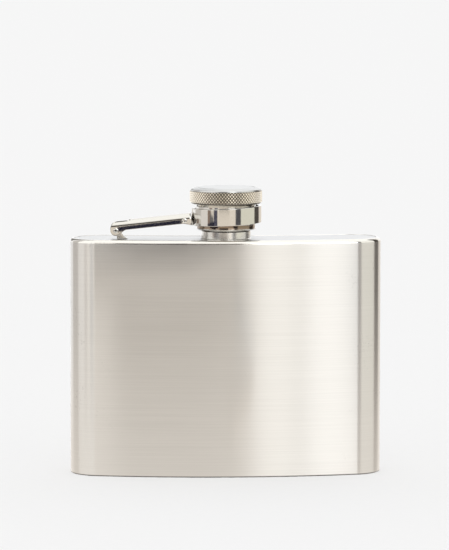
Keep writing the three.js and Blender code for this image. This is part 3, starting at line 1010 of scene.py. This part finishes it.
def add_near_cards():
    bar = [(-60, 60.5), (-14, 61), (8, 67), (8, 69), (-14, 69.8), (-37, 69.8), (-37, 76), (-60, 76)]
    bulge = [(4 + 9 * math.sin(a), lerp(16, 54, a / math.pi)) for a in steps(0, math.pi, 24)]
    strip = [(-33, 72.9), (-13, 74.9), (-13, 76.9), (-33, 74.6)]
    sheet = [(250 * math.cos(a), 250 * math.sin(a), 0.02) for a in steps(0, 2 * math.pi, 64)[:-1]]
    add_near_card("shade_left", *curved_card(-27, 6, 300, 63, 200), (0.10, 0.09, 0.08))
    add_near_card("shade_bar", *flat_card(bar, -41), (0.18, 0.17, 0.17))
    add_near_card("shade_bulge", *flat_card(bulge, -41), (0.80, 0.76, 0.71))
    add_near_card("shade_strip", *flat_card(strip, -20), (0.02, 0.02, 0.04))
    add_near_card("near_floor", sheet, [tuple(range(len(sheet)))], (1.10, 1.03, 0.95))


# Far cards of light and shadow, as degrees round from the front towards +X and above the horizon:
# where each starts and ends, its low and high edge, and its colour. Later cards cover earlier ones.
CARDS = [
    ("front_beige", -33.5, 27.4, -14, -1, (0.97, 0.89, 0.79)),
    ("right_olive", 46, 106, -14, -1, (0.90, 0.89, 0.77)),
    ("left_rose", -110, -69, -14, -1, (0.92, 0.88, 0.85)),
    ("right_gap", 27.4, 46, -14, -1, (0.10, 0.10, 0.11)),
    ("left_brown", -69, -57, -14, -1, (0.30, 0.22, 0.18)),
    ("left_gap", -46, -33.5, -14, -1, (0.08, 0.08, 0.12)),
    ("front_right_light", 8, 31.5, -1, 40, (2.2, 2.25, 2.25)),
    ("front_right_bright", 18, 31.5, -1, 40, (2.5, 2.58, 2.64)),
    ("front_right_edge", 31.5, 44, -1, 40, (0.36, 0.36, 0.36)),
    ("front_dip", 15.8, 18.8, -1, 40, (1.2, 1.25, 1.25)),
    ("left_light", -98, -31, -1, 40, (1.3, 1.3, 1.28)),
    ("right_light", 47, 105, -1, 40, (1.15, 1.15, 1.1)),
    ("right_back_gap", 104, 133, -40, 50, (0.10, 0.09, 0.08)),
    ("left_back_gap", -132, -98, -40, 50, (0.70, 0.67, 0.64)),
    ("left_end_light", -180, -132, -40, 50, (1.15, 1.15, 1.15)),
    ("back_light", 150, 210, -1, 40, (1.2, 1.21, 1.23)),
    ("back_shade", 190, 218, 6, 60, (0.25, 0.24, 0.23)),
]
CARD_SOFTNESS = 0.8  # degrees
SKY = (1.1, 1.08, 1.04, 1)
GROUND = (0.90, 0.83, 0.74, 1)
OVERHEAD = (1.33, 1.33, 1.3, 1)
BACKDROP = (0.922, 0.922, 0.922, 1)
ROOM = (0.53, 0.53, 0.53, 1)
FILL_POWER = 1.67


def add_world():
    """The cards as the flask reflects them, an even room for the floor and a plain backdrop."""
    world = bpy.data.worlds.new("studio")
    world.use_nodes = True
    bpy.context.scene.world = world
    nodes = Nodes(world.node_tree)
    direction = nodes.add("ShaderNodeTexCoord").outputs["Generated"]
    parts = nodes.add("ShaderNodeSeparateXYZ", {"Vector": direction}).outputs
    rise = nodes.math("MULTIPLY", nodes.math("ARCSINE", parts["Z"]), 180 / math.pi)
    level = nodes.math("SQRT", nodes.math("MAXIMUM", nodes.math(
        "SUBTRACT", 1.0, nodes.math("MULTIPLY", parts["Z"], parts["Z"])), 1e-6))
    colour = nodes.mix(nodes.ramp(rise, -2.0, 2.0, 0.0, 1.0), GROUND, SKY)
    colour = nodes.mix(nodes.ramp(rise, 34.0, 46.0, 0.0, 1.0), colour, OVERHEAD)
    for _, start, end, low, high, tint in CARDS:
        middle, half = math.radians((start + end) / 2), (end - start) / 2
        facing = nodes.math("SUBTRACT", nodes.math("MULTIPLY", parts["X"], math.sin(middle)),
                            nodes.math("MULTIPLY", parts["Y"], math.cos(middle)))
        cosine = nodes.math("MINIMUM", nodes.math("DIVIDE", facing, level), 1.0)
        off = nodes.math("MULTIPLY", nodes.math("ARCCOSINE", cosine), 180 / math.pi)
        inside = nodes.ramp(off, half - CARD_SOFTNESS, half + CARD_SOFTNESS, 1.0, 0.0)
        above = nodes.ramp(rise, low - CARD_SOFTNESS, low + CARD_SOFTNESS, 0.0, 1.0)
        below = nodes.ramp(rise, high - CARD_SOFTNESS, high + CARD_SOFTNESS, 1.0, 0.0)
        share = nodes.math("MULTIPLY", inside, nodes.math("MULTIPLY", above, below))
        colour = nodes.mix(share, colour, shade(tint))
    path = nodes.add("ShaderNodeLightPath").outputs
    plain = nodes.mix(path["Is Camera Ray"], ROOM, BACKDROP)
    direct = nodes.math("SUBTRACT", path["Is Glossy Ray"], path["Diffuse Depth"], clamp=True)
    colour = nodes.mix(direct, plain, colour)
    sky = nodes.add("ShaderNodeBackground", {"Color": colour, "Strength": 1.0})
    nodes.add("ShaderNodeOutputWorld", {"Surface": sky.outputs[0]})


def add_fill_light():
    """A soft fill from above that evens out the shadow on the floor."""
    data = bpy.data.lights.new("fill", "SUN")
    data.energy = FILL_POWER
    data.use_shadow = False
    lamp = bpy.data.objects.new("fill", data)
    lamp.visible_glossy = False
    bpy.context.scene.collection.objects.link(lamp)


# ---- the flask ----

add_camera()
add_floor()
add_near_cards()
add_world()
add_fill_light()
bpy.context.scene.view_settings.view_transform = "Standard"

shell_steel = brushed_material("shell_steel", STEEL, 0.28, (25, 25, 3600), 0.98, 0.25, rim=True)
plate_steel = brushed_material("plate_steel", PLATE_STEEL, 0.35, (25, 3600, 25), 0.0, 0.2)
bright_steel = polished_material("bright_steel", BRIGHT_STEEL, 0.09)
neck_steel = polished_material("neck_steel", NECK_STEEL, 0.24)
# the sleeve's steel has a band of painted shade in the groove above its lip
sleeve_steel = polished_material("sleeve_steel", BRIGHT_STEEL, 0.09,
                                 groove=(PLATE_TOP + LIP_TOP, PLATE_TOP + GROOVE_TOP))
# rough inner steel of the arm; its near-black colour is painted shade
inner_shade_steel = polished_material("inner_shade_steel", INNER_SHADE_STEEL, 0.4)
cap_steel = satin_material("cap_steel", CAP_COLOUR, 0.3)
seal_rubber = rubber_material("seal_rubber", RUBBER_COLOUR)

finish_piece(shell("shell_front", True), "flask", "front_shell", shell_steel)
finish_piece(shell("shell_back", False), "flask", "back_shell", shell_steel)
finish_piece(plate("plate_top", TOP_OPENING + PLATE_GAP, PLATE_TOP - WALL, PLATE_TOP, NECK_HOLE),
             "flask", "top_plate", plate_steel)
finish_piece(plate("plate_base", BOTTOM_OPENING + PLATE_GAP, 0, WALL),
             "flask", "bottom_plate", plate_steel)
finish_piece(neck(), "flask", "neck", neck_steel)
finish_piece(hinge_bracket(), "flask", "hinge_bracket", bright_steel)
finish_piece(pin("pin_bracket", BRACKET_PIN, BRACKET_PIN_HALF),
             "flask", "bracket_pin",
             pin_material("bracket_pin_steel", BRACKET_PIN, 0.26, 1))
finish_piece(hinge_link(), "link", "hinge_link", bright_steel)
finish_piece(pin("pin_link", LINK_PIN, HEADED_PIN_HALF, headed=True),
             "link", "link_pin",
             pin_material("link_pin_steel", LINK_PIN, -1, 0.3))
finish_piece(swing_arm(), "arm", "arm", bright_steel)
finish_piece(pin("pin_ring", RING_PIN, HEADED_PIN_HALF, headed=True),
             "arm", "ring_pin", bright_steel)
finish_piece(cap_ring(), "ring", "cap_ring", bright_steel)
finish_piece(sleeve(), "cap", "threaded_sleeve", sleeve_steel)
finish_piece(cap_head(), "cap", "cap_head", cap_steel, sharp=18)
finish_piece(gasket(), "cap", "gasket", seal_rubber)
